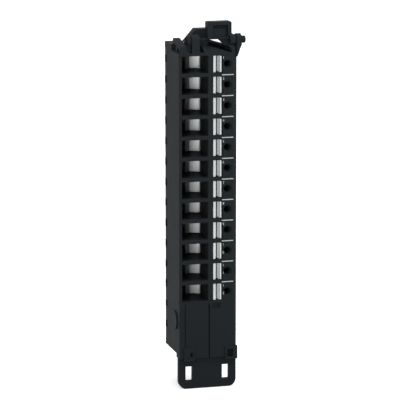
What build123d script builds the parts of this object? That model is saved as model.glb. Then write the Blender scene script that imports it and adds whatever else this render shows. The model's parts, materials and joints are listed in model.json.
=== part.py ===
"""Removable spring terminal block for a narrow input and output module.

A black housing holds twelve positions, one above the other. Each position has a wire window on the left, a bent
clamp spring and a current bar whose folds show in the narrow slot beside it, and a round probe hole on the right.
A hinged lever on top locks the block into its module, and a flange below takes a strap for the wires.

Millimetres. X runs across the block, Y into the module and Z up. The origin is on the rear face, on the middle
plane of the body, halfway up the row of positions.
"""

import os

from build123d import *

# Row of positions
pole_count = 12
pitch = 5.0
cell_height = 4.1

# Front grid, from the left face to the right one
left_rim = 0.71
window_width = 6.42
partition = 1.1
slot_width = 2.42
probe_panel = 3.55
front_depth = 7.3
probe_inset = 1.24
probe_bore = 1.5
probe_mouth = 2.15
probe_funnel_angle = 60
nib_width = 0.6
nib_height = 0.3
nib_thickness = 0.2
nib_shift = 0.2

# Body
body_depth = 13.3
top_wall = 0.65
foot_height = 11.95
front_chamfer_width = 0.85
front_chamfer_depth = 0.55
corner_chamfer = 0.2

# Rear of the housing
right_wall = 1.2
cover_wall = 1.0
cover_thickness = 1.6
cover_clearance = 0.06
spare_positions = 2
notch_height = 1.8
notch_depth = 1.85
cover_notch_width = 0.6

# Lower front
apron_drop = 2.1
apron_depth = 2.9
panel_gap = 0.75
panel_inset = 0.64
panel_overlap = 0.42
panel_recess = 0.45
pocket_width = 1.85
pocket_height = 1.2
pocket_depth = 0.4
catch_proud = 0.25
catch_drop = 0.6
block_inset = 1.1
block_width = 2.65
block_height = 3.5
block_notch_inset = 1.55
block_notch_width = 0.6
block_notch_rise = 1.0
block_notch_height = 1.1
tab_width = 2.9
tab_height = 3.2
tab_overhang = 0.15
tab_notch_inset = 0.6
tab_notch_width = 1.4
tab_notch_rise = 0.6
tab_notch_height = 1.8
tab_notch_depth = 0.8

# Side nubs
nub_radius = 2.3
nub_height = 0.3
nub_setback = 4.0
nub_rise = 6.8

# Strap flange
flange_width = 14.15
flange_drop = 7.55
flange_setback = 0.6
flange_thickness = 1.5
flange_corner = 1.9
strap_slot_width = 1.8
strap_slot_height = 3.66
strap_slot_spacing = 9.05
strap_slot_rise = 3.7

# Spring strip
strip_edge_gap = 0.1
spring_thickness = 0.25
spring_side_gap = 0.035
spring_front_gap = 0.25
spring_loop_width = 0.785
spring_loop_corner = 0.35
spring_short_leg = 1.85
spring_gap_behind_partition = 0.4
spring_bend_radius = 0.7
spring_crown_radius = 1.3
spring_crown_inset = 0.25
spring_crease_inset = 2.35
spring_crease_depth = 0.95
spring_crease_radius = 0.15
spring_tip_inset = 3.6
spring_tip_depth = 0.15

# Current bar strip
bar_thickness = 0.3
bar_gap_to_loop = 0.06
bar_front_gap = 0.3
bar_fold_width = 1.2
bar_fold_radius = 0.3
bar_bend_radius = 0.45
bar_wire_gap = 0.75
bar_lip = 0.55
bar_lip_gap = 0.1
bar_wall_gap = 0.11
bar_cover_gap = 0.6
probe_tab_offset = 0.61

# Two-tined contact
contact_offset = 0.7
tine_height = 1.6
tine_root = 0.55
tine_waist = 0.27
tine_mouth = 0.5
tine_waist_setback = 0.9
tine_setback = 0.3
mouth_clearance = 0.3

# Cover pegs
peg_width = 1.8
peg_length = 3.0
peg_clearance = 0.05

# Hinge
post_inset = 3.2
post_width = 1.9
post_radius = 1.45
hinge_height = 2.8
lug_width = 1.15
lug_shoulder = 1.1
lug_waist_inset = 0.45
lug_waist = 2.1
lug_foot_inset = 0.7
lug_foot = 3.0
lug_root = 4.0
pin_radius = 0.88
pin_seat_clearance = 0.02
pin_running_clearance = 0.05
pin_end_gap = 0.1
pin_chamfer = 0.15
pin_stub = 1.15
pin_blind_wall = 0.3

# Lever
arm_gap = 0.15
arm_radius = 1.3
left_arm_width = 0.8
right_arm_width = 1.4
beam_setback = 1.8
beam_depth = 2.6
beam_rise = 0.2
beam_height = 2.35
beam_shoulder_width = 2.7
beam_shoulder_drop = 3.1
beam_right_drop = 1.4
arm_tail_drop = 0.6
handle_width = 5.85
handle_overlap = 0.55
handle_lead = 0.15
handle_depth = 2.4
handle_height = 4.15
handle_corner = 0.4
grip_left_margin = 1.3
grip_right_margin = 0.85
grip_top_margin = 0.85
grip_bottom_margin = 0.5
grip_depth = 1.7
gusset_width = 2.65
gusset_drop = 1.5
gusset_setback = 0.3
gusset_thickness = 0.9
foot_reach = 2.5
foot_lead = 0.85
foot_width = 1.2

# Top of the housing
ear_inset = 0.35
ear_gap = 0.25
ear_length = 7.1
ear_front_rise = 1.7
ear_back_rise = 2.9
ear_pocket_depth = 1.0
ear_pocket_length = 2.4
ear_pocket_starts = (0.8, 4.3)
ear_pocket_lift = 0.2
ear_pocket_rim = 1.0
side_wall_rise = 1.4
side_wall_width = 2.0
cheek_width = 1.8
cheek_foot_width = 1.2
cheek_rise = 1.35
cheek_depth = 3.9
ramp_inset = 1.1
ramp_length = 2.9
ramp_rise = 1.6
ramp_back_width = 1.4
screen_thickness = 3.0
screen_rise = 2.7
screen_flat = 3.2
screen_step = 0.25
screen_step_run = 0.6
screen_end_rise = 1.2
screen_pocket_rim = 0.35
screen_pocket_inset = 0.3
screen_pocket_lip = 0.15
screen_pocket_depth = 2.2

# Places worked out from the sizes above
body_width = left_rim + window_width + partition + slot_width + probe_panel
half_width = body_width / 2
front_y = -body_depth
pole_heights = [pitch * ((pole_count - 1) / 2 - i) for i in range(pole_count)]
notch_heights = pole_heights + [pole_heights[-1] - pitch * (k + 1) for k in range(spare_positions)]
cells_top = pole_heights[0] + cell_height / 2
cells_bottom = pole_heights[-1] - cell_height / 2
body_top = cells_top + top_wall
body_bottom = cells_bottom - foot_height
apron_bottom = body_bottom - apron_drop
flange_bottom = apron_bottom - flange_drop
flange_front_y = front_y + flange_setback
window_left = -half_width + left_rim
window_right = window_left + window_width
slot_left = window_right + partition
slot_right = slot_left + slot_width
probe_x = slot_right + probe_inset
inner_y = front_y + front_depth
chamber_right = half_width - right_wall
recess_bottom = body_bottom + cover_wall
recess_half_width = half_width - cover_wall
panel_top = cells_bottom - panel_gap
peg_heights = notch_heights[-2:]

# Spring and bar
strip_height = cell_height - 2 * strip_edge_gap
spring_leg_x = slot_left + spring_side_gap + spring_thickness / 2
spring_short_x = spring_leg_x + spring_loop_width
spring_front_y = front_y + spring_front_gap + spring_thickness / 2
spring_cross_y = inner_y + spring_gap_behind_partition
spring_crown_x = window_right - spring_crown_inset
spring_crease_x = window_right - spring_crease_inset
spring_tip_x = window_right - spring_tip_inset
bar_fold_x = spring_short_x + spring_thickness / 2 + bar_gap_to_loop
bar_leg_x = bar_fold_x + bar_fold_width - bar_thickness / 2
bar_front_y = front_y + bar_front_gap + bar_thickness / 2
bar_back_y = -cover_thickness - bar_cover_gap - bar_thickness / 2
bar_left_x = spring_tip_x - bar_wire_gap - (spring_thickness + bar_thickness) / 2
probe_tab_x = probe_x + probe_tab_offset
bar_face_x = bar_left_x + bar_thickness / 2
bar_wire_face = bar_back_y - (inner_y + bar_lip + bar_lip_gap)
chamber_left = bar_left_x - bar_thickness / 2 - bar_wall_gap
contact_x = bar_left_x + contact_offset

# Hinge and lever
hinge_y = front_y + post_radius
hinge_z = body_top + hinge_height
post_x = (-half_width + post_inset, -half_width + post_inset + post_width)
arm_left_x = (post_x[0] - arm_gap - left_arm_width, post_x[0] - arm_gap)
arm_right_x = (half_width - arm_gap - right_arm_width, half_width - arm_gap)
lug_x = (half_width, half_width + lug_width)
lug_taper = (
    (lug_x[1], hinge_z - lug_shoulder),
    (lug_x[1] - lug_waist_inset, hinge_z - lug_waist),
    (lug_x[1] - lug_foot_inset, hinge_z - lug_foot),
    (lug_x[0], hinge_z - lug_root),
)
beam_y = (hinge_y + beam_setback, hinge_y + beam_setback + beam_depth)
beam_z = (hinge_z + beam_rise, hinge_z + beam_rise + beam_height)
arm_tail_z = hinge_z - arm_tail_drop
handle_x = (arm_right_x[0] + handle_overlap - handle_width, arm_right_x[0] + handle_overlap)
handle_y = (hinge_y - handle_lead, hinge_y - handle_lead + handle_depth)
handle_top = beam_z[0] + handle_height
ear_x = (-half_width + ear_inset, arm_left_x[0] - ear_gap)
ear_back_y = front_y + ear_length
ear_front_z = body_top + ear_front_rise
ear_back_z = body_top + ear_back_rise
cheek_left_x = half_width - cheek_width
ramp_left_x = post_x[1] + ramp_inset


def box_between(x_span, y_span, z_span, mode=Mode.ADD):
    """Adds or cuts a block that spans the given X, Y and Z."""
    centre = tuple((span[0] + span[1]) / 2 for span in (x_span, y_span, z_span))
    with Locations(centre):
        Box(x_span[1] - x_span[0], y_span[1] - y_span[0], z_span[1] - z_span[0], mode=mode)


def pin_between(x_span, radius, mode=Mode.ADD):
    """Adds or cuts a round bar on the hinge axis that spans the given X."""
    with BuildSketch(Plane.YZ.offset(x_span[0])) as section:
        with Locations((hinge_y, hinge_z)):
            Circle(radius)
    extrude(section.sketch, amount=x_span[1] - x_span[0], mode=mode)


def side_profile(points, x_span, mode=Mode.ADD):
    """Extrudes an outline of Y and Z points across the given X."""
    with BuildSketch(Plane.YZ.offset(x_span[0])) as section:
        with BuildLine():
            Polyline(*points, close=True)
        make_face()
    extrude(section.sketch, amount=x_span[1] - x_span[0], mode=mode)


def front_profile(points, y_span, mode=Mode.ADD):
    """Extrudes an outline of X and Z points back through the given Y."""
    with BuildSketch(Plane.XZ.offset(-y_span[0])) as section:
        with BuildLine():
            Polyline(*points, close=True)
        make_face()
    extrude(section.sketch, amount=y_span[0] - y_span[1], mode=mode)


def top_profile(points, z_span, mode=Mode.ADD):
    """Extrudes an outline of X and Y points up through the given Z."""
    with BuildSketch(Plane.XY.offset(z_span[0])) as section:
        with BuildLine():
            Polyline(*points, close=True)
        make_face()
    extrude(section.sketch, amount=z_span[1] - z_span[0], mode=mode)


# Front housing
with BuildPart() as front_housing:
    # Body with a chamfer down its right front edge, and the apron that carries the front on below it
    chamfer_x = half_width - front_chamfer_width
    chamfer_y = front_y + front_chamfer_depth
    for back_y, z_span in ((0, (body_bottom, body_top)), (front_y + apron_depth, (apron_bottom, body_bottom))):
        top_profile(
            [
                (-half_width, back_y),
                (-half_width, front_y),
                (chamfer_x, front_y),
                (half_width, chamfer_y),
                (half_width, back_y),
            ],
            z_span,
        )
    chamfer(front_housing.edges().filter_by(Axis.Z).group_by(Axis.Y)[-1], corner_chamfer)

    # Strap flange with two rounded lower corners
    with BuildSketch(Plane.XZ.offset(-flange_front_y)):
        with BuildLine():
            FilletPolyline(
                (-flange_width / 2, apron_bottom),
                (-flange_width / 2, flange_bottom),
                (flange_width / 2, flange_bottom),
                (flange_width / 2, apron_bottom),
                radius=flange_corner,
            )
            Line((flange_width / 2, apron_bottom), (-flange_width / 2, apron_bottom))
        make_face()
        with Locations((0, flange_bottom + strap_slot_rise)):
            with GridLocations(strap_slot_spacing, 0, 2, 1):
                Rectangle(strap_slot_width, strap_slot_height, mode=Mode.SUBTRACT)
    extrude(amount=-flange_thickness)

    # Left ear beside the lever's foot, with two pockets in its outer face
    side_profile(
        [(front_y, body_top), (front_y, ear_front_z), (ear_back_y, ear_back_z), (ear_back_y, body_top)],
        ear_x,
    )
    ear_slope = (ear_back_rise - ear_front_rise) / ear_length
    for start in ear_pocket_starts:
        end = start + ear_pocket_length
        side_profile(
            [
                (front_y + start, body_top + ear_pocket_lift),
                (front_y + start, ear_front_z + ear_slope * start - ear_pocket_rim),
                (front_y + end, ear_front_z + ear_slope * end - ear_pocket_rim),
                (front_y + end, body_top + ear_pocket_lift),
            ],
            (ear_x[0], ear_x[0] + ear_pocket_depth),
            mode=Mode.SUBTRACT,
        )
    box_between(
        (-half_width, -half_width + side_wall_width), (ear_back_y, 0), (body_top, body_top + side_wall_rise)
    )

    # Right cheek with a slanted inner face
    front_profile(
        [
            (half_width - cheek_foot_width, body_top),
            (cheek_left_x, body_top + cheek_rise),
            (half_width, body_top + cheek_rise),
            (half_width, body_top),
        ],
        (front_y, front_y + cheek_depth),
    )
    top_profile(
        [(chamfer_x, front_y), (half_width, front_y), (half_width, chamfer_y)],
        (body_top, body_top + cheek_rise),
        mode=Mode.SUBTRACT,
    )

    # Screen across the top behind the ramp, high beside the post and sloping down to the cheek
    screen_y = front_y + ramp_length
    screen_left_x = (post_x[0] + post_x[1]) / 2
    screen_step_x = post_x[1] + screen_flat + screen_step_run
    screen_right_x = half_width - cheek_foot_width
    screen_step_z = body_top + screen_rise - screen_step
    screen_end_z = body_top + screen_end_rise
    front_profile(
        [
            (screen_left_x, body_top),
            (screen_left_x, body_top + screen_rise),
            (post_x[1] + screen_flat, body_top + screen_rise),
            (screen_step_x, screen_step_z),
            (screen_right_x, screen_end_z),
            (screen_right_x, body_top),
        ],
        (screen_y, screen_y + screen_thickness),
    )

    # Deep pocket in the screen's front, under its sloping edge
    pocket_left_x = ramp_left_x + ramp_back_width + screen_pocket_inset
    pocket_right_x = cheek_left_x - screen_pocket_inset
    front_profile(
        [
            (pocket_left_x, body_top + screen_pocket_lip),
            (pocket_left_x, screen_step_z - screen_pocket_rim),
            (screen_step_x, screen_step_z - screen_pocket_rim),
            (pocket_right_x, screen_end_z - screen_pocket_rim + screen_pocket_lip),
            (pocket_right_x, body_top + screen_pocket_lip),
        ],
        (screen_y, screen_y + screen_pocket_depth),
        mode=Mode.SUBTRACT,
    )

    # Ramp that falls to the front and narrows to the back
    top_profile(
        [
            (ramp_left_x, front_y),
            (cheek_left_x, front_y),
            (ramp_left_x + ramp_back_width, screen_y),
            (ramp_left_x, screen_y),
        ],
        (body_top, body_top + ramp_rise),
    )
    side_profile(
        [(front_y, body_top), (screen_y, body_top + ramp_rise), (front_y, body_top + ramp_rise)],
        (ramp_left_x, cheek_left_x),
        mode=Mode.SUBTRACT,
    )

    # Hinge post on the left and tapered hinge lug on the right side
    for x_span, foot_z in ((post_x, body_top), (lug_x, lug_taper[-1][1])):
        box_between(x_span, (hinge_y - post_radius, hinge_y + post_radius), (foot_z, hinge_z))
        pin_between(x_span, post_radius)
    front_profile(
        [*lug_taper, (lug_x[1], lug_taper[-1][1])], (hinge_y - post_radius, hinge_y + post_radius), mode=Mode.SUBTRACT
    )
    pin_between((post_x[0], post_x[1] - pin_blind_wall), pin_radius + pin_seat_clearance, mode=Mode.SUBTRACT)
    pin_between(lug_x, pin_radius + pin_seat_clearance, mode=Mode.SUBTRACT)

    # Windows and slots, the contact chambers behind them, and the probe holes
    for z in pole_heights:
        cell = (z - cell_height / 2, z + cell_height / 2)
        box_between((window_left, window_right), (front_y, inner_y), cell, mode=Mode.SUBTRACT)
        box_between((slot_left, slot_right), (front_y, inner_y), cell, mode=Mode.SUBTRACT)
        box_between((chamber_left, chamber_right), (inner_y + bar_lip, -cover_thickness), cell, mode=Mode.SUBTRACT)
        box_between((bar_face_x, chamber_right), (inner_y, inner_y + bar_lip), cell, mode=Mode.SUBTRACT)
    with Locations(*[Location((probe_x, front_y, z), (90, 0, 0)) for z in pole_heights]):
        CounterSinkHole(probe_bore / 2, probe_mouth / 2, depth=front_depth, counter_sink_angle=probe_funnel_angle)

    # A small hump stands on each slot's lower edge, in front of the gap between the two strips
    with BuildSketch(Plane.XZ.offset(-front_y)):
        with Locations(*[(bar_fold_x + nib_shift, z - (cell_height - nib_height) / 2) for z in pole_heights]):
            Trapezoid(nib_width, nib_height, 60)
    extrude(amount=-nib_thickness)

    # Rear recess for the cover, peg holes and the notches down the left rear edge
    box_between(
        (-recess_half_width, recess_half_width), (-cover_thickness, 0), (recess_bottom, cells_top), mode=Mode.SUBTRACT
    )
    for z in peg_heights:
        half_peg = peg_width / 2 + peg_clearance
        box_between(
            (-half_peg, half_peg),
            (-cover_thickness - peg_length - peg_clearance, -cover_thickness),
            (z - half_peg, z + half_peg),
            mode=Mode.SUBTRACT,
        )
    for z in notch_heights:
        box_between(
            (-half_width, -recess_half_width),
            (-notch_depth, 0),
            (z - notch_height / 2, z + notch_height / 2),
            mode=Mode.SUBTRACT,
        )

    # Lower front: recessed panel and the pocket under the last slot
    box_between(
        (window_left + panel_inset, window_right + panel_overlap),
        (front_y, front_y + panel_recess),
        (apron_bottom, panel_top),
        mode=Mode.SUBTRACT,
    )
    box_between(
        (slot_left, slot_left + pocket_width),
        (front_y, front_y + pocket_depth),
        (panel_top - pocket_height, panel_top),
        mode=Mode.SUBTRACT,
    )

    # Catch block on the left of the apron and catch tab on its right, each with a notch
    catch_z = apron_bottom - catch_drop
    catch_y = front_y - catch_proud
    block_x = (-half_width + block_inset, -half_width + block_inset + block_width)
    box_between(block_x, (catch_y, flange_front_y), (catch_z, catch_z + block_height))
    block_notch_x = block_x[0] + block_notch_inset
    block_notch_z = catch_z + block_notch_rise
    box_between(
        (block_notch_x, block_notch_x + block_notch_width),
        (catch_y, front_y + panel_recess),
        (block_notch_z, block_notch_z + block_notch_height),
        mode=Mode.SUBTRACT,
    )
    tab_x = (half_width - tab_width, half_width + tab_overhang)
    box_between(tab_x, (catch_y, flange_front_y), (catch_z, catch_z + tab_height))
    tab_notch_x = tab_x[0] + tab_notch_inset
    tab_notch_z = catch_z + tab_notch_rise
    box_between(
        (tab_notch_x, tab_notch_x + tab_notch_width),
        (catch_y, front_y + tab_notch_depth),
        (tab_notch_z, tab_notch_z + tab_notch_height),
        mode=Mode.SUBTRACT,
    )

    # A low round nub on each side
    for x_start, height in ((-half_width, -nub_height), (half_width, nub_height)):
        with BuildSketch(Plane.YZ.offset(x_start)):
            with Locations((front_y + nub_setback, body_bottom + nub_rise)):
                Circle(nub_radius)
        extrude(amount=height)


# Rear cover
with BuildPart() as rear_cover:
    cover_half_width = recess_half_width - cover_clearance
    cover_z = (recess_bottom + cover_clearance, cells_top - cover_clearance)
    box_between((-cover_half_width, cover_half_width), (-cover_thickness, 0), cover_z)
    mouth_half_width = tine_root + bar_thickness / 2 + mouth_clearance
    mouth_half_height = tine_height / 2 + mouth_clearance
    for z in pole_heights:
        box_between(
            (contact_x - mouth_half_width, contact_x + mouth_half_width),
            (-cover_thickness, 0),
            (z - mouth_half_height, z + mouth_half_height),
            mode=Mode.SUBTRACT,
        )
    for z in notch_heights:
        box_between(
            (-cover_half_width, -cover_half_width + cover_notch_width),
            (-cover_thickness, 0),
            (z - notch_height / 2, z + notch_height / 2),
            mode=Mode.SUBTRACT,
        )
    for z in peg_heights:
        box_between(
            (-peg_width / 2, peg_width / 2),
            (-cover_thickness - peg_length, -cover_thickness),
            (z - peg_width / 2, z + peg_width / 2),
        )


def make_current_bar(z):
    """One bent bar: wire face, back with the probe face, folded front and the two tines of its rear contact."""
    with BuildPart() as current_bar:
        with BuildSketch(Plane.XY.offset(z)):
            with BuildLine():
                FilletPolyline(
                    (bar_left_x, bar_back_y - bar_wire_face),
                    (bar_left_x, bar_back_y),
                    (probe_tab_x, bar_back_y),
                    radius=bar_bend_radius,
                )
                FilletPolyline(
                    (bar_leg_x, bar_back_y),
                    (bar_leg_x, bar_front_y),
                    (bar_fold_x, bar_front_y),
                    radius=bar_fold_radius,
                )
            trace(line_width=bar_thickness)
        extrude(amount=strip_height / 2, both=True)
        for side in (-1, 1):
            with BuildSketch(Plane.XY.offset(z)):
                with BuildLine():
                    Polyline(
                        (contact_x + side * tine_root, bar_back_y),
                        (contact_x + side * tine_waist, -tine_waist_setback),
                        (contact_x + side * tine_mouth, -tine_setback),
                    )
                trace(line_width=bar_thickness)
            extrude(amount=tine_height / 2, both=True)
    return current_bar.part


def make_clamp_spring(z):
    """One bent spring: short leg, front loop, long leg behind the partition, crown, crease and clamping tip."""
    with BuildPart() as clamp_spring:
        with BuildSketch(Plane.XY.offset(z)):
            with BuildLine():
                FilletPolyline(
                    (spring_short_x, spring_front_y + spring_short_leg),
                    (spring_short_x, spring_front_y),
                    (spring_leg_x, spring_front_y),
                    (spring_leg_x, spring_cross_y),
                    (spring_crown_x, spring_cross_y),
                    (spring_crease_x, spring_cross_y + spring_crease_depth),
                    (spring_tip_x, spring_cross_y + spring_tip_depth),
                    radius=[
                        spring_loop_corner,
                        spring_loop_corner,
                        spring_bend_radius,
                        spring_crown_radius,
                        spring_crease_radius,
                    ],
                )
            trace(line_width=spring_thickness)
        extrude(amount=strip_height / 2, both=True)
    return clamp_spring.part


# Locking lever
with BuildPart() as locking_lever:
    # Beam behind the hinge, with a sloped left shoulder
    front_profile(
        [
            (arm_left_x[0], arm_tail_z),
            (arm_left_x[0], beam_z[1] - beam_shoulder_drop),
            (arm_left_x[0] + beam_shoulder_width, beam_z[1]),
            (arm_right_x[0], beam_z[1]),
            (arm_right_x[0], beam_z[1] - beam_right_drop),
            (arm_right_x[1], beam_z[1] - beam_right_drop),
            (arm_right_x[1], arm_tail_z),
            (arm_right_x[0], arm_tail_z),
            (arm_right_x[0], beam_z[0]),
            (arm_left_x[1], beam_z[0]),
            (arm_left_x[1], arm_tail_z),
        ],
        beam_y,
    )

    # Arms from the beam to the hinge
    for x_span in (arm_left_x, arm_right_x):
        pin_between(x_span, arm_radius)
        side_profile(
            [
                (hinge_y, hinge_z - arm_radius),
                (hinge_y, hinge_z + arm_radius),
                (beam_y[0], beam_z[1] - beam_shoulder_drop),
                (beam_y[0], arm_tail_z),
            ],
            x_span,
        )

    # Foot of the left arm
    side_profile(
        [
            (hinge_y - foot_lead, hinge_z - foot_reach),
            (hinge_y - foot_lead, hinge_z),
            (hinge_y - foot_lead + foot_width, hinge_z),
            (hinge_y - foot_lead + foot_width, hinge_z - foot_reach),
        ],
        arm_left_x,
    )

    # Handle with rounded upper corners and a grip recess in its front
    with BuildSketch(Plane.XZ.offset(-handle_y[0])):
        with BuildLine():
            FilletPolyline(
                (handle_x[0], beam_z[0]),
                (handle_x[0], handle_top),
                (handle_x[1], handle_top),
                (handle_x[1], beam_z[0]),
                radius=handle_corner,
            )
            Line((handle_x[1], beam_z[0]), (handle_x[0], beam_z[0]))
        make_face()
    extrude(amount=-handle_depth)
    box_between(
        (handle_x[0] + grip_left_margin, handle_x[1] - grip_right_margin),
        (handle_y[0], handle_y[0] + grip_depth),
        (beam_z[0] + grip_bottom_margin, handle_top - grip_top_margin),
        mode=Mode.SUBTRACT,
    )

    # Gusset between the handle and the right arm
    front_profile(
        [
            (arm_right_x[0] - gusset_width, beam_z[0]),
            (arm_right_x[0], beam_z[0]),
            (arm_right_x[0], beam_z[0] - gusset_drop),
            (arm_right_x[0] - gusset_width + gusset_drop, beam_z[0] - gusset_drop),
        ],
        (handle_y[0] + gusset_setback, handle_y[0] + gusset_setback + gusset_thickness),
    )
    for x_span in (arm_left_x, arm_right_x):
        pin_between(x_span, pin_radius + pin_running_clearance, mode=Mode.SUBTRACT)


# Hinge pins
with BuildPart() as hinge_pin_left:
    pin_between((arm_left_x[0] + pin_end_gap, post_x[1] - pin_blind_wall), pin_radius)

with BuildPart() as hinge_pin_right:
    pin_between((arm_right_x[0] + pin_end_gap, lug_x[1] + pin_stub), pin_radius)
    chamfer(hinge_pin_right.edges().filter_by(GeomType.CIRCLE).sort_by(Axis.X)[-1], pin_chamfer)


# Labels and files
front_housing.part.label = "front_housing"
rear_cover.part.label = "rear_cover"
locking_lever.part.label = "locking_lever"
hinge_pin_left.part.label = "hinge_pin_left"
hinge_pin_right.part.label = "hinge_pin_right"

os.makedirs("parts", exist_ok=True)
export_step(front_housing.part, "parts/front_housing.step")
export_step(rear_cover.part, "parts/rear_cover.step")
export_step(locking_lever.part, "parts/locking_lever.step")
export_step(hinge_pin_left.part, "parts/hinge_pin_left.step")
export_step(hinge_pin_right.part, "parts/hinge_pin_right.step")
for number, height in enumerate(pole_heights, start=1):
    bar = make_current_bar(height)
    bar.label = f"current_bar_{number:02d}"
    export_step(bar, f"parts/{bar.label}.step")
    spring = make_clamp_spring(height)
    spring.label = f"clamp_spring_{number:02d}"
    export_step(spring, f"parts/{spring.label}.step")
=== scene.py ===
"""Scene of a removable spring terminal block: black housing, bright contacts, hinged locking lever."""

from __future__ import annotations

import json
import logging
import math
from dataclasses import dataclass
from enum import Enum

import bpy
from mathutils import Matrix, Vector

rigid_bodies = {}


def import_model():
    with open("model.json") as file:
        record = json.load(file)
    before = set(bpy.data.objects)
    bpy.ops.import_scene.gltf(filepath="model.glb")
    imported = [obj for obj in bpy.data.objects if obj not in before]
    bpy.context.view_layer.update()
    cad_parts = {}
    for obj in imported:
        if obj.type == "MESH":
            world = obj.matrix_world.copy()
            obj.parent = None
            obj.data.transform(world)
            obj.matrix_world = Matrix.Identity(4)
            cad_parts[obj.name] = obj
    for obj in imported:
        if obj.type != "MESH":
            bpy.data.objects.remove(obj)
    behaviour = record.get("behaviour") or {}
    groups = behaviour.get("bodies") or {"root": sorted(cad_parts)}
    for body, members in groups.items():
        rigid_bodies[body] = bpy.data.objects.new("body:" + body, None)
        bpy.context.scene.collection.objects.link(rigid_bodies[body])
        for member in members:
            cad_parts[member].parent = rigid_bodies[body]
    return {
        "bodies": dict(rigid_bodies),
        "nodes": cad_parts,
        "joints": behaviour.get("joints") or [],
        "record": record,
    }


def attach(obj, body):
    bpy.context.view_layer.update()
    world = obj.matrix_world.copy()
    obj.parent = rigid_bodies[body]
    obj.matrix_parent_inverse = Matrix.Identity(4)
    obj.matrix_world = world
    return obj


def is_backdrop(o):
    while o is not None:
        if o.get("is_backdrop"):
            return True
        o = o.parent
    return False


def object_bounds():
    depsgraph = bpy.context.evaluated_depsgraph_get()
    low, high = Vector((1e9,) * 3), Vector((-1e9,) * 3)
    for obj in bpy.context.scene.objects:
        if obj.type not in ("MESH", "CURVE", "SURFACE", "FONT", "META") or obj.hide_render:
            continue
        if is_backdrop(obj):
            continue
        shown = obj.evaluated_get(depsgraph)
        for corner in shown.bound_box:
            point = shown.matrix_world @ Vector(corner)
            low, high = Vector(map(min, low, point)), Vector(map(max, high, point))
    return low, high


LOG = logging.getLogger("terminal_block")
MM = 0.001

POLE_COUNT = 12
PITCH = 5.0
TOP_POSITION = 27.5

GRAIN_SCALE = 9000.0
LINE_SCALE = 2600.0
LINE_STRETCH = (0.08, 0.08, 1.0)
CLOUD_SCALE = 160.0
HAZE_SCALE = 420.0
FINE_DETAIL = 3.0
SLOW_DETAIL = 2.0
BUMP_STRENGTH = 0.25
BEVEL_SAMPLES = 6
ROD_SIDES = 24
PLASTIC_SPECULAR = 0.006
STRIP_RELIEF = 0.000001

Colour = tuple[float, float, float]
Point = tuple[float, float, float]

WHITE: Colour = (1.0, 1.0, 1.0)
FRAME: dict = {}


class Grain(Enum):
    """How the surface of a piece was made."""

    MOULDED = "moulded plastic"
    ROLLED = "rolled strip"


class RowShape(Enum):
    """What a row repeats."""

    BLOCK = "block"
    ROD = "upright rod"


def new_group(name: str, inputs: dict[str, float], outputs: dict[str, str]) -> bpy.types.NodeTree:
    """Starts a shader node group with float inputs.

    Args:
        name: Name of the group.
        inputs: Each input's name and default value.
        outputs: Each output's name and socket type.

    Returns:
        The new group, with its input and output nodes in place.
    """
    tree = bpy.data.node_groups.new(name, "ShaderNodeTree")
    for label, value in inputs.items():
        socket = tree.interface.new_socket(label, in_out="INPUT", socket_type="NodeSocketFloat")
        socket.default_value = value
    for label, kind in outputs.items():
        tree.interface.new_socket(label, in_out="OUTPUT", socket_type=kind)
    tree.nodes.new("NodeGroupInput").name = "in"
    tree.nodes.new("NodeGroupOutput").name = "out"
    return tree


def math_node(
    tree: bpy.types.NodeTree, operation: str, first: object, second: object
) -> bpy.types.NodeSocket:
    """Adds one Math node.

    Args:
        tree: Tree that takes the node.
        operation: The node's operation.
        first: A socket or a number.
        second: A socket or a number.

    Returns:
        The node's output socket.
    """
    node = tree.nodes.new("ShaderNodeMath")
    node.operation = operation
    for index, value in enumerate((first, second)):
        if isinstance(value, (int, float)):
            node.inputs[index].default_value = value
        else:
            tree.links.new(value, node.inputs[index])
    return node.outputs[0]


def noise_node(
    tree: bpy.types.NodeTree, vector: object, scale: object, detail: float
) -> bpy.types.NodeSocket:
    """Adds one Noise Texture node.

    Args:
        tree: Tree that takes the node.
        vector: Socket with the coordinates.
        scale: A socket or a number.
        detail: The noise's detail.

    Returns:
        The node's factor output.
    """
    node = tree.nodes.new("ShaderNodeTexNoise")
    tree.links.new(vector, node.inputs["Vector"])
    node.inputs["Detail"].default_value = detail
    if isinstance(scale, (int, float)):
        node.inputs["Scale"].default_value = scale
    else:
        tree.links.new(scale, node.inputs["Scale"])
    return node.outputs["Fac"]


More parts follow.
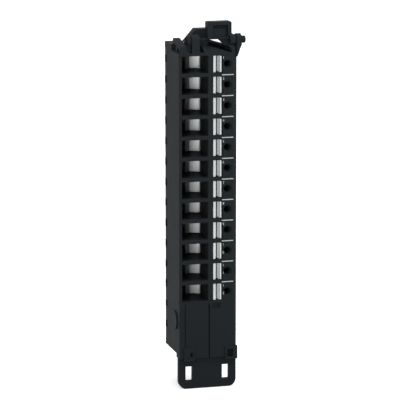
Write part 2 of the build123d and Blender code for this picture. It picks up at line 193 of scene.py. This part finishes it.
class SurfaceEffects:
    """Shader node groups that more than one finish uses."""

    OUTPUTS = {"Roughness": "NodeSocketFloat", "Shade": "NodeSocketFloat", "Height": "NodeSocketFloat"}

    def __init__(self) -> None:
        """Builds each group once."""
        self.moulding = self.build_moulding()
        self.rolling = self.build_rolling()

    @staticmethod
    def join_outputs(tree: bpy.types.NodeTree, slow: object, fine: object) -> None:
        """Lets slow noise change the gloss and the shade, and fine noise give the relief.

        Args:
            tree: The group.
            slow: Socket of the slow noise.
            fine: Socket of the fine noise.
        """
        source = tree.nodes["in"].outputs
        out = tree.nodes["out"].inputs
        centred = math_node(tree, "SUBTRACT", slow, 0.5)
        spread = math_node(tree, "MULTIPLY", centred, source["Roughness Spread"])
        tree.links.new(math_node(tree, "ADD", source["Roughness"], spread), out["Roughness"])
        shade = math_node(tree, "MULTIPLY", centred, source["Shade Spread"])
        tree.links.new(math_node(tree, "ADD", shade, 1.0), out["Shade"])
        tree.links.new(fine, out["Height"])

    def build_moulding(self) -> bpy.types.NodeTree:
        """Fine moulded grain with slow changes of gloss.

        Returns:
            The group, with Roughness, Shade and Height outputs.
        """
        tree = new_group(
            "moulding",
            {"Grain Scale": GRAIN_SCALE, "Roughness": 0.45, "Roughness Spread": 0.1, "Shade Spread": 0.15},
            self.OUTPUTS,
        )
        where = tree.nodes.new("ShaderNodeTexCoord").outputs["Object"]
        grain = noise_node(tree, where, tree.nodes["in"].outputs["Grain Scale"], FINE_DETAIL)
        clouds = noise_node(tree, where, CLOUD_SCALE, SLOW_DETAIL)
        self.join_outputs(tree, clouds, grain)
        return tree

    def build_rolling(self) -> bpy.types.NodeTree:
        """Fine lines along a rolled strip, with a little haze.

        Returns:
            The group, with Roughness, Shade and Height outputs.
        """
        tree = new_group(
            "rolling",
            {"Line Scale": LINE_SCALE, "Roughness": 0.3, "Roughness Spread": 0.15, "Shade Spread": 0.12},
            self.OUTPUTS,
        )
        where = tree.nodes.new("ShaderNodeTexCoord").outputs["Object"]
        stretch = tree.nodes.new("ShaderNodeMapping")
        stretch.inputs["Scale"].default_value = LINE_STRETCH
        tree.links.new(where, stretch.inputs["Vector"])
        scale = tree.nodes["in"].outputs["Line Scale"]
        lines = noise_node(tree, stretch.outputs["Vector"], scale, FINE_DETAIL)
        haze = noise_node(tree, where, HAZE_SCALE, SLOW_DETAIL)
        self.join_outputs(tree, haze, lines)
        return tree


@dataclass(frozen=True)
class Finish:
    """One material: its colour, gloss and fine relief."""

    name: str
    colour: Colour
    grain: Grain
    roughness: float
    metallic: float = 0.0
    specular: float = 0.5
    relief: float = 0.00001
    grain_scale: float = GRAIN_SCALE
    shade_spread: float = 0.15
    edge_radius: float = 0.0

    def build(self, effects: SurfaceEffects) -> bpy.types.Material:
        """Builds the material.

        Args:
            effects: The shared node groups.

        Returns:
            The finished material.
        """
        material = bpy.data.materials.new(self.name)
        material.use_nodes = True
        tree = material.node_tree
        shader = tree.nodes["Principled BSDF"]
        shader.inputs["Metallic"].default_value = self.metallic
        shader.inputs["Specular IOR Level"].default_value = self.specular
        group = tree.nodes.new("ShaderNodeGroup")
        group.node_tree = effects.rolling if self.grain is Grain.ROLLED else effects.moulding
        scale_name = "Line Scale" if self.grain is Grain.ROLLED else "Grain Scale"
        group.inputs[scale_name].default_value = self.grain_scale
        group.inputs["Roughness"].default_value = self.roughness
        group.inputs["Shade Spread"].default_value = self.shade_spread
        tint = tree.nodes.new("ShaderNodeVectorMath")
        tint.operation = "SCALE"
        tint.inputs[0].default_value = self.colour
        tree.links.new(group.outputs["Shade"], tint.inputs["Scale"])
        tree.links.new(tint.outputs["Vector"], shader.inputs["Base Color"])
        tree.links.new(group.outputs["Roughness"], shader.inputs["Roughness"])
        bump = tree.nodes.new("ShaderNodeBump")
        bump.inputs["Strength"].default_value = BUMP_STRENGTH
        bump.inputs["Distance"].default_value = self.relief
        tree.links.new(group.outputs["Height"], bump.inputs["Height"])
        if self.edge_radius:
            edge = tree.nodes.new("ShaderNodeBevel")
            edge.samples = BEVEL_SAMPLES
            edge.inputs["Radius"].default_value = self.edge_radius * MM
            tree.links.new(edge.outputs["Normal"], bump.inputs["Normal"])
        tree.links.new(bump.outputs["Normal"], shader.inputs["Normal"])
        return material


HOUSING_PLASTIC = Finish(
    "housing_plastic",
    (0.0205, 0.0248, 0.0275),
    Grain.MOULDED,
    0.42,
    specular=PLASTIC_SPECULAR,
    edge_radius=0.08,
)
COVER_PLASTIC = Finish(
    "cover_plastic",
    (0.0205, 0.0248, 0.0275),
    Grain.MOULDED,
    0.5,
    specular=PLASTIC_SPECULAR,
    edge_radius=0.08,
)
LEVER_PLASTIC = Finish(
    "lever_plastic",
    (0.0212, 0.0255, 0.0280),
    Grain.MOULDED,
    0.36,
    specular=PLASTIC_SPECULAR,
    edge_radius=0.1,
)
PIN_PLASTIC = Finish(
    "pin_plastic",
    (0.0205, 0.0248, 0.0270),
    Grain.MOULDED,
    0.38,
    specular=PLASTIC_SPECULAR,
    edge_radius=0.08,
)
SPRING_STEEL = Finish(
    "spring_steel",
    (0.52, 0.53, 0.53),
    Grain.ROLLED,
    0.38,
    metallic=0.72,
    relief=STRIP_RELIEF,
    grain_scale=LINE_SCALE,
)
CONTACT_METAL = Finish(
    "contact_metal",
    (0.26, 0.27, 0.27),
    Grain.ROLLED,
    0.28,
    metallic=0.95,
    relief=STRIP_RELIEF,
    grain_scale=LINE_SCALE,
)
# Lighter copy of the contact metal for the rod beads on each bar's right ridge: a painted highlight for
# the light that the rounded ridge catches.
CONTACT_PAINTED_HIGHLIGHT = Finish(
    "contact_painted_highlight",
    (0.52, 0.53, 0.53),
    Grain.ROLLED,
    0.28,
    metallic=0.95,
    relief=STRIP_RELIEF,
    grain_scale=LINE_SCALE,
)
PRINT_WHITE = Finish("print_white", (0.55, 0.56, 0.56), Grain.MOULDED, 0.6, relief=0.000002)


def dress(name: str, material: bpy.types.Material) -> None:
    """Gives a node of the frame one material.

    Args:
        name: Name of the node.
        material: Material for all of it.
    """
    node = FRAME["nodes"][name]
    node.data.materials.clear()
    node.data.materials.append(material)
    LOG.info("dressed %s with %s", name, material.name)


def plain_mesh(source: bpy.types.Object, name: str) -> bpy.types.Object:
    """Turns an evaluated object into a new plain mesh object and deletes the source.

    Args:
        source: Object with its modifiers or curve data.
        name: Name of the new object.

    Returns:
        The plain object, with the source's place moved into its mesh.
    """
    bpy.context.view_layer.update()
    graph = bpy.context.evaluated_depsgraph_get()
    mesh = bpy.data.meshes.new_from_object(source.evaluated_get(graph), depsgraph=graph)
    mesh.transform(source.matrix_world)
    piece = bpy.data.objects.new(name, mesh)
    bpy.context.scene.collection.objects.link(piece)
    bpy.data.objects.remove(source)
    return piece


def block_piece(
    name: str,
    low: Point,
    high: Point,
    material: bpy.types.Material,
    body: str = "block",
) -> bpy.types.Object:
    """Builds one closed block that rides on a body.

    Args:
        name: Name of the piece.
        low: Its lowest corner, in millimetres.
        high: Its highest corner, in millimetres.
        material: Its material.
        body: The body that carries it.

    Returns:
        The block, with its faces outward.
    """
    mesh = bpy.data.meshes.new(name)
    corners = [
        (x * MM, y * MM, z * MM)
        for x in (low[0], high[0])
        for y in (low[1], high[1])
        for z in (low[2], high[2])
    ]
    faces = [(0, 1, 3, 2), (4, 6, 7, 5), (0, 4, 5, 1), (2, 3, 7, 6), (0, 2, 6, 4), (1, 5, 7, 3)]
    mesh.from_pydata(corners, [], faces)
    mesh.materials.append(material)
    piece = bpy.data.objects.new(name, mesh)
    bpy.context.scene.collection.objects.link(piece)
    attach(piece, body)
    return piece


@dataclass(frozen=True)
class PieceRow:
    """Equal pieces at an equal step, one below the other, in millimetres."""

    name: str
    count: int
    start: Point
    step: float
    size: Point
    body: str = "block"
    slot: str = "housing"
    shape: RowShape = RowShape.BLOCK

    def piece_output(self, tree: bpy.types.NodeTree, size: bpy.types.NodeSocket) -> bpy.types.NodeSocket:
        """Adds the mesh that the row repeats.

        Args:
            tree: The row's tree.
            size: Socket with the piece's size.

        Returns:
            The mesh.
        """
        if self.shape is RowShape.BLOCK:
            block = tree.nodes.new("GeometryNodeMeshCube")
            tree.links.new(size, block.inputs["Size"])
            return block.outputs["Mesh"]
        axes = tree.nodes.new("ShaderNodeSeparateXYZ")
        tree.links.new(size, axes.inputs[0])
        rod = tree.nodes.new("GeometryNodeMeshCylinder")
        rod.inputs["Vertices"].default_value = ROD_SIDES
        tree.links.new(math_node(tree, "MULTIPLY", axes.outputs["X"], 0.5), rod.inputs["Radius"])
        tree.links.new(axes.outputs["Z"], rod.inputs["Depth"])
        return rod.outputs["Mesh"]

    def node_tree(self, material: bpy.types.Material) -> bpy.types.NodeTree:
        """Geometry Nodes tree that stacks the pieces.

        Args:
            material: Material of the pieces.

        Returns:
            The tree, with named inputs for the sizes.
        """
        tree = bpy.data.node_groups.new(self.name, "GeometryNodeTree")
        tree.interface.new_socket("Geometry", in_out="OUTPUT", socket_type="NodeSocketGeometry")
        tree.interface.new_socket("Count", in_out="INPUT", socket_type="NodeSocketInt")
        for label in ("Start", "Step", "Size"):
            tree.interface.new_socket(label, in_out="INPUT", socket_type="NodeSocketVector")
        source = tree.nodes.new("NodeGroupInput").outputs
        target = tree.nodes.new("NodeGroupOutput").inputs
        row = tree.nodes.new("GeometryNodeMeshLine")
        tree.links.new(source["Count"], row.inputs["Count"])
        tree.links.new(source["Start"], row.inputs["Start Location"])
        tree.links.new(source["Step"], row.inputs["Offset"])
        place = tree.nodes.new("GeometryNodeInstanceOnPoints")
        tree.links.new(row.outputs["Mesh"], place.inputs["Points"])
        tree.links.new(self.piece_output(tree, source["Size"]), place.inputs["Instance"])
        real = tree.nodes.new("GeometryNodeRealizeInstances")
        tree.links.new(place.outputs["Instances"], real.inputs["Geometry"])
        paint = tree.nodes.new("GeometryNodeSetMaterial")
        paint.inputs["Material"].default_value = material
        tree.links.new(real.outputs["Geometry"], paint.inputs["Geometry"])
        tree.links.new(paint.outputs["Geometry"], target["Geometry"])
        return tree

    def build(self, material: bpy.types.Material) -> bpy.types.Object:
        """Builds the row.

        Args:
            material: Material of the pieces.

        Returns:
            The row as one plain piece on its body.
        """
        tree = self.node_tree(material)
        carrier = bpy.data.objects.new(f"{self.name}_source", bpy.data.meshes.new(f"{self.name}_source"))
        bpy.context.scene.collection.objects.link(carrier)
        modifier = carrier.modifiers.new("row", "NODES")
        modifier.node_group = tree
        values = {
            "Count": self.count,
            "Start": tuple(value * MM for value in self.start),
            "Step": (0.0, 0.0, -self.step * MM),
            "Size": tuple(value * MM for value in self.size),
        }
        for item in tree.interface.items_tree:
            if item.in_out == "INPUT":
                modifier[item.identifier] = values[item.name]
        piece = plain_mesh(carrier, self.name)
        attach(piece, self.body)
        LOG.info("%s: %d pieces", self.name, self.count)
        return piece


@dataclass
class HousingTrim:
    """Small forms of the housing that the solids leave out."""

    half_width: float = 7.1
    body_depth: float = 13.3
    pitch: float = PITCH
    top_position: float = TOP_POSITION
    notch_count: int = 14
    notch_height: float = 1.8
    web_width: float = 1.1
    web_thickness: float = 0.2
    foot_top: float = -41.5
    foot_drop: float = 1.2
    apron_depth: float = 2.9
    apron_bottom: float = -43.6
    panel_x: tuple[float, float] = (-5.6, 0.15)
    panel_top: float = -29.6
    block_right: float = -3.3
    block_top: float = -40.7
    panel_back: float = 0.45
    panel_proud: float = 0.02
    bridge_x: tuple[float, float] = (-5.1, -3.9)
    bridge_y: tuple[float, float] = (-9.0, -8.5)
    bridge_z: tuple[float, float] = (30.2, 32.25)

    def build(self, material: bpy.types.Material) -> None:
        """Builds every form.

        Args:
            material: The housing's plastic.
        """
        PieceRow(
            "notch_webs",
            self.notch_count,
            (-self.half_width + self.web_width / 2, -self.web_thickness / 2, self.top_position),
            self.pitch,
            (self.web_width, self.web_thickness, self.notch_height),
        ).build(material)
        block_piece(
            "foot_block",
            (-self.half_width, -self.body_depth + self.apron_depth, self.foot_top - self.foot_drop),
            (self.half_width, 0.0, self.foot_top),
            material,
        )
        panel_front = -self.body_depth - self.panel_proud
        panel_back = -self.body_depth + self.panel_back
        block_piece(
            "left_panel",
            (self.panel_x[0], panel_front, self.block_top),
            (self.panel_x[1], panel_back, self.panel_top),
            material,
        )
        block_piece(
            "left_panel_foot",
            (self.block_right, panel_front, self.apron_bottom),
            (self.panel_x[1], panel_back, self.block_top),
            material,
        )
        block_piece(
            "ear_bridge",
            (self.bridge_x[0], self.bridge_y[0], self.bridge_z[0]),
            (self.bridge_x[1], self.bridge_y[1], self.bridge_z[1]),
            material,
        )


GRIP_BLOCKS: dict[str, tuple[Point, Point]] = {
    "grip_floor": ((1.25, -11.3, 33.6), (5.3, -10.2, 36.3)),
    "grip_pad": ((1.25, -11.65, 33.6), (4.75, -11.2, 35.75)),
}
BAR_BEADS = PieceRow(
    "bar_beads",
    POLE_COUNT,
    (3.22, -12.92, TOP_POSITION),
    PITCH,
    (0.44, 0.44, 3.8),
    slot="contact_metal",
    shape=RowShape.ROD,
)


@dataclass
class FrontPrint:
    """White lines between the positions and the numbers beside them."""

    pole_count: int = POLE_COUNT
    pitch: float = PITCH
    line_left: float = 3.4
    line_right: float = 6.22
    line_height: float = 0.21
    line_drop: float = 0.1
    number_x: float = 3.76
    number_size: float = 0.86
    number_rise: float = 1.9
    digit_spacing: float = 2.2
    curve_steps: int = 3
    front_y: float = -13.3
    ink: float = 0.02

    def build_lines(self, material: bpy.types.Material) -> bpy.types.Object:
        """Builds the white lines between the positions.

        Args:
            material: Ink of the lines.

        Returns:
            The lines as one piece.
        """
        middle = (self.line_left + self.line_right) / 2
        top = self.pitch * (self.pole_count / 2 - 1) - self.line_drop
        return PieceRow(
            "separator_lines",
            self.pole_count - 1,
            (middle, self.front_y - self.ink / 2, top),
            self.pitch,
            (self.line_right - self.line_left, self.ink, self.line_height),
        ).build(material)

    def build_number(self, number: int, material: bpy.types.Material) -> bpy.types.Object:
        """Builds the number of one position, its digits one above the other.

        Args:
            number: The position, from 1 at the top.
            material: Ink of the number.

        Returns:
            The number as one piece.
        """
        centre_z = self.pitch * ((self.pole_count + 1) / 2 - number)
        curve = bpy.data.curves.new(f"number_{number:02d}", "FONT")
        curve.body = "\n".join(str(number))
        curve.align_x = "CENTER"
        curve.align_y = "TOP"
        curve.size = self.number_size * MM
        curve.space_line = self.digit_spacing
        curve.extrude = self.ink * MM
        curve.resolution_u = self.curve_steps
        source = bpy.data.objects.new(f"number_{number:02d}_source", curve)
        bpy.context.scene.collection.objects.link(source)
        source.rotation_euler = (math.pi / 2, 0.0, 0.0)
        source.location = (self.number_x * MM, self.front_y * MM, (centre_z + self.number_rise) * MM)
        piece = plain_mesh(source, f"number_{number:02d}")
        piece.data.materials.clear()
        piece.data.materials.append(material)
        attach(piece, "block")
        return piece

    def build(self, material: bpy.types.Material) -> None:
        """Builds the lines and every number.

        Args:
            material: Ink of the print.
        """
        self.build_lines(material)
        for number in range(1, self.pole_count + 1):
            self.build_number(number, material)
        LOG.info("printed %d positions", self.pole_count)


@dataclass(frozen=True)
class Glow:
    """One bright area of the surroundings: where it lies, how bright it is and how sharply it ends."""

    direction: Point
    strength: float
    sharpness: float


@dataclass(frozen=True)
class Lamp:
    """One square soft lamp: its place in metres, its side, its power and where it points."""

    name: str
    place: Point
    size: float
    power: float
    aim: Point = (0.0, 0.0, 0.0)


SURROUNDINGS = (
    Glow((-0.54, -0.82, -0.10), 0.45, 8.0),
    Glow((0.93, -0.32, -0.10), 2.10, 6.0),
    Glow((0.20, 0.15, 0.95), 2.00, 8.0),
)

LAMPS = (
    Lamp("lamp_left", (-0.45, -0.45, 0.30), 0.30, 0.45),
    Lamp("lamp_front", (-0.28, -0.57, 0.0), 0.16, 0.48),
    Lamp("lamp_top", (0.05, -0.20, 0.60), 0.30, 1.4),
)


@dataclass
class Studio:
    """Camera, lights, floor and backdrop."""

    yaw: float = -0.266
    elevation: float = 0.1964
    focal_px: float = 2609.06
    frame_px: float = 410.0
    sensor: float = 36.0
    camera_mm: Point = (-160.4978, -599.5764, 114.7618)
    floor_z: float = -51.15
    clip_end: float = 10.0
    background: Colour = WHITE
    world_strength: float = 0.35
    floor_half: float = 3.0
    floor_white: float = 0.9
    floor_lift: float = 0.5
    floor_roughness: float = 0.9
    floor_specular: float = 0.1

    def axes(self) -> tuple[Vector, Vector, Vector]:
        """Works out how the camera is turned.

        Returns:
            The camera's right, up and back directions.
        """
        back = Vector((
            math.sin(self.yaw) * math.cos(self.elevation),
            -math.cos(self.yaw) * math.cos(self.elevation),
            math.sin(self.elevation),
        ))
        right = Vector((math.cos(self.yaw), math.sin(self.yaw), 0.0))
        return right, back.cross(right), back

    def build_camera(self) -> None:
        """Places the camera where the photograph was taken from."""
        right, up, back = self.axes()
        data = bpy.data.cameras.new("camera")
        data.sensor_width = self.sensor
        data.sensor_height = self.sensor
        data.lens = self.focal_px / self.frame_px * self.sensor
        data.clip_end = self.clip_end
        camera = bpy.data.objects.new("camera", data)
        turn = Matrix((right, up, back)).transposed().to_4x4()
        camera.matrix_world = Matrix.Translation(Vector(self.camera_mm) * MM) @ turn
        bpy.context.scene.collection.objects.link(camera)
        bpy.context.scene.camera = camera

    def surround_group(self) -> bpy.types.NodeTree:
        """Brightness of the surroundings by direction: a plain level with a few soft glows.

        Returns:
            The group, with a Direction input and a Strength output.
        """
        tree = new_group("surroundings", {}, {"Strength": "NodeSocketFloat"})
        tree.interface.new_socket("Direction", in_out="INPUT", socket_type="NodeSocketVector")
        unit = tree.nodes.new("ShaderNodeVectorMath")
        unit.operation = "NORMALIZE"
        tree.links.new(tree.nodes["in"].outputs["Direction"], unit.inputs[0])
        total: object = self.world_strength
        for glow in SURROUNDINGS:
            toward = tree.nodes.new("ShaderNodeVectorMath")
            toward.operation = "DOT_PRODUCT"
            toward.inputs[1].default_value = Vector(glow.direction).normalized()
            tree.links.new(unit.outputs["Vector"], toward.inputs[0])
            facing = math_node(tree, "MAXIMUM", toward.outputs["Value"], 0.0)
            spread = math_node(tree, "POWER", facing, glow.sharpness)
            total = math_node(tree, "ADD", math_node(tree, "MULTIPLY", spread, glow.strength), total)
        tree.links.new(total, tree.nodes["out"].inputs["Strength"])
        return tree

    @staticmethod
    def sees_background(tree: bpy.types.NodeTree) -> bpy.types.NodeSocket:
        """Picks out the camera's rays and those that metal or glass sends on.

        Args:
            tree: Tree that takes the nodes.

        Returns:
            1 for a ray that shows the white background, 0 for any other.
        """
        path = tree.nodes.new("ShaderNodeLightPath")
        seen = math_node(tree, "MAXIMUM", path.outputs["Is Camera Ray"], path.outputs["Is Glossy Ray"])
        return math_node(tree, "MAXIMUM", seen, path.outputs["Is Transmission Ray"])

    def build_world(self, surround: bpy.types.NodeTree) -> None:
        """Lights the scene from all round, and shows white behind the object.

        Args:
            surround: The group with the brightness by direction.
        """
        world = bpy.data.worlds.new("studio")
        world.use_nodes = True
        bpy.context.scene.world = world
        tree = world.node_tree
        tree.nodes.clear()
        soft = tree.nodes.new("ShaderNodeBackground")
        soft.inputs["Color"].default_value = (*WHITE, 1.0)
        level = tree.nodes.new("ShaderNodeGroup")
        level.node_tree = surround
        where = tree.nodes.new("ShaderNodeTexCoord").outputs["Generated"]
        tree.links.new(where, level.inputs["Direction"])
        tree.links.new(level.outputs["Strength"], soft.inputs["Strength"])
        seen = tree.nodes.new("ShaderNodeBackground")
        seen.inputs["Color"].default_value = (*self.background, 1.0)
        mix = tree.nodes.new("ShaderNodeMixShader")
        tree.links.new(self.sees_background(tree), mix.inputs["Fac"])
        tree.links.new(soft.outputs["Background"], mix.inputs[1])
        tree.links.new(seen.outputs["Background"], mix.inputs[2])
        tree.links.new(mix.outputs["Shader"], tree.nodes.new("ShaderNodeOutputWorld").inputs["Surface"])

    @staticmethod
    def build_lamp(lamp: Lamp) -> None:
        """Adds one square soft lamp.

        Args:
            lamp: Its name, place, aim, size and power.
        """
        data = bpy.data.lights.new(lamp.name, "AREA")
        data.size = lamp.size
        data.energy = lamp.power
        holder = bpy.data.objects.new(lamp.name, data)
        holder.location = lamp.place
        holder.rotation_euler = (Vector(lamp.aim) - Vector(lamp.place)).to_track_quat("-Z", "Y").to_euler()
        bpy.context.scene.collection.objects.link(holder)

    def build_floor(self, surround: bpy.types.NodeTree) -> None:
        """Adds the floor: white where it is seen or mirrored, else as bright as the surroundings.

        Args:
            surround: The group with the brightness by direction.
        """
        half = self.floor_half
        z = self.floor_z * MM
        mesh = bpy.data.meshes.new("studio_floor")
        corners = [(-half, -half, z), (half, -half, z), (half, half, z), (-half, half, z)]
        mesh.from_pydata(corners, [], [(0, 1, 2, 3)])
        floor = bpy.data.objects.new("studio_floor", mesh)
        bpy.context.scene.collection.objects.link(floor)
        material = bpy.data.materials.new("floor_white")
        material.use_nodes = True
        tree = material.node_tree
        shader = tree.nodes["Principled BSDF"]
        shader.inputs["Roughness"].default_value = self.floor_roughness
        shader.inputs["Specular IOR Level"].default_value = self.floor_specular
        glow = tree.nodes.new("ShaderNodeEmission")
        glow.inputs["Color"].default_value = (*self.background, 1.0)
        seen = self.sees_background(tree)
        level = tree.nodes.new("ShaderNodeGroup")
        level.node_tree = surround
        tree.links.new(tree.nodes.new("ShaderNodeTexCoord").outputs["Object"], level.inputs["Direction"])
        strength = level.outputs["Strength"]
        shade = math_node(tree, "MAXIMUM", strength, seen)
        tree.links.new(math_node(tree, "MINIMUM", shade, self.floor_white), shader.inputs["Base Color"])
        white = math_node(tree, "MULTIPLY", seen, self.floor_lift)
        beyond = math_node(tree, "MAXIMUM", math_node(tree, "SUBTRACT", strength, self.floor_white), 0.0)
        unseen = math_node(tree, "SUBTRACT", 1.0, seen)
        lift = math_node(tree, "ADD", white, math_node(tree, "MULTIPLY", beyond, unseen))
        tree.links.new(lift, glow.inputs["Strength"])
        total = tree.nodes.new("ShaderNodeAddShader")
        tree.links.new(shader.outputs["BSDF"], total.inputs[0])
        tree.links.new(glow.outputs["Emission"], total.inputs[1])
        tree.links.new(total.outputs["Shader"], tree.nodes["Material Output"].inputs["Surface"])
        mesh.materials.append(material)
        floor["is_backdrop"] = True

    def build(self) -> None:
        """Builds the whole studio."""
        bpy.context.scene.view_settings.view_transform = "Standard"
        self.build_camera()
        surround = self.surround_group()
        self.build_world(surround)
        self.build_floor(surround)
        for lamp in LAMPS:
            self.build_lamp(lamp)


@dataclass
class TerminalBlock:
    """The frame's own nodes, dressed with their finishes."""

    pole_count: int = POLE_COUNT

    def build(self, effects: SurfaceEffects) -> None:
        """Gives every node its finish.

        Args:
            effects: The shared node groups.
        """
        housing = HOUSING_PLASTIC.build(effects)
        dress("front_housing", housing)
        HousingTrim().build(housing)
        dress("rear_cover", COVER_PLASTIC.build(effects))
        lever = LEVER_PLASTIC.build(effects)
        dress("locking_lever", lever)
        for name, (low, high) in GRIP_BLOCKS.items():
            block_piece(name, low, high, lever, "lever")
        pin = PIN_PLASTIC.build(effects)
        dress("hinge_pin_left", pin)
        dress("hinge_pin_right", pin)
        spring = SPRING_STEEL.build(effects)
        bar = CONTACT_METAL.build(effects)
        # The bar beads take the lighter copy of the contact metal, a painted highlight on the ridge.
        BAR_BEADS.build(CONTACT_PAINTED_HIGHLIGHT.build(effects))
        for number in range(1, self.pole_count + 1):
            dress(f"clamp_spring_{number:02d}", spring)
            dress(f"current_bar_{number:02d}", bar)


def box_list(bounds: tuple[Vector, Vector]) -> list[list[float]]:
    """Turns a box into plain lists.

    Args:
        bounds: The box's two corners.

    Returns:
        The two corners as lists.
    """
    return [list(corner) for corner in bounds]


def main() -> dict[str, list[list[float]]]:
    """Builds the studio, dresses the block and prints its front.

    Returns:
        The box of the frame's solids and the box of the finished model.
    """
    logging.basicConfig(level=logging.INFO, format="%(name)s %(message)s")
    FRAME.update(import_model())
    cad_box = box_list(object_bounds())
    effects = SurfaceEffects()
    Studio().build()
    TerminalBlock().build(effects)
    FrontPrint().build(PRINT_WHITE.build(effects))
    return {"cad": cad_box, "visual": box_list(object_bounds())}


if __name__ == "__main__":
    sizes = main()
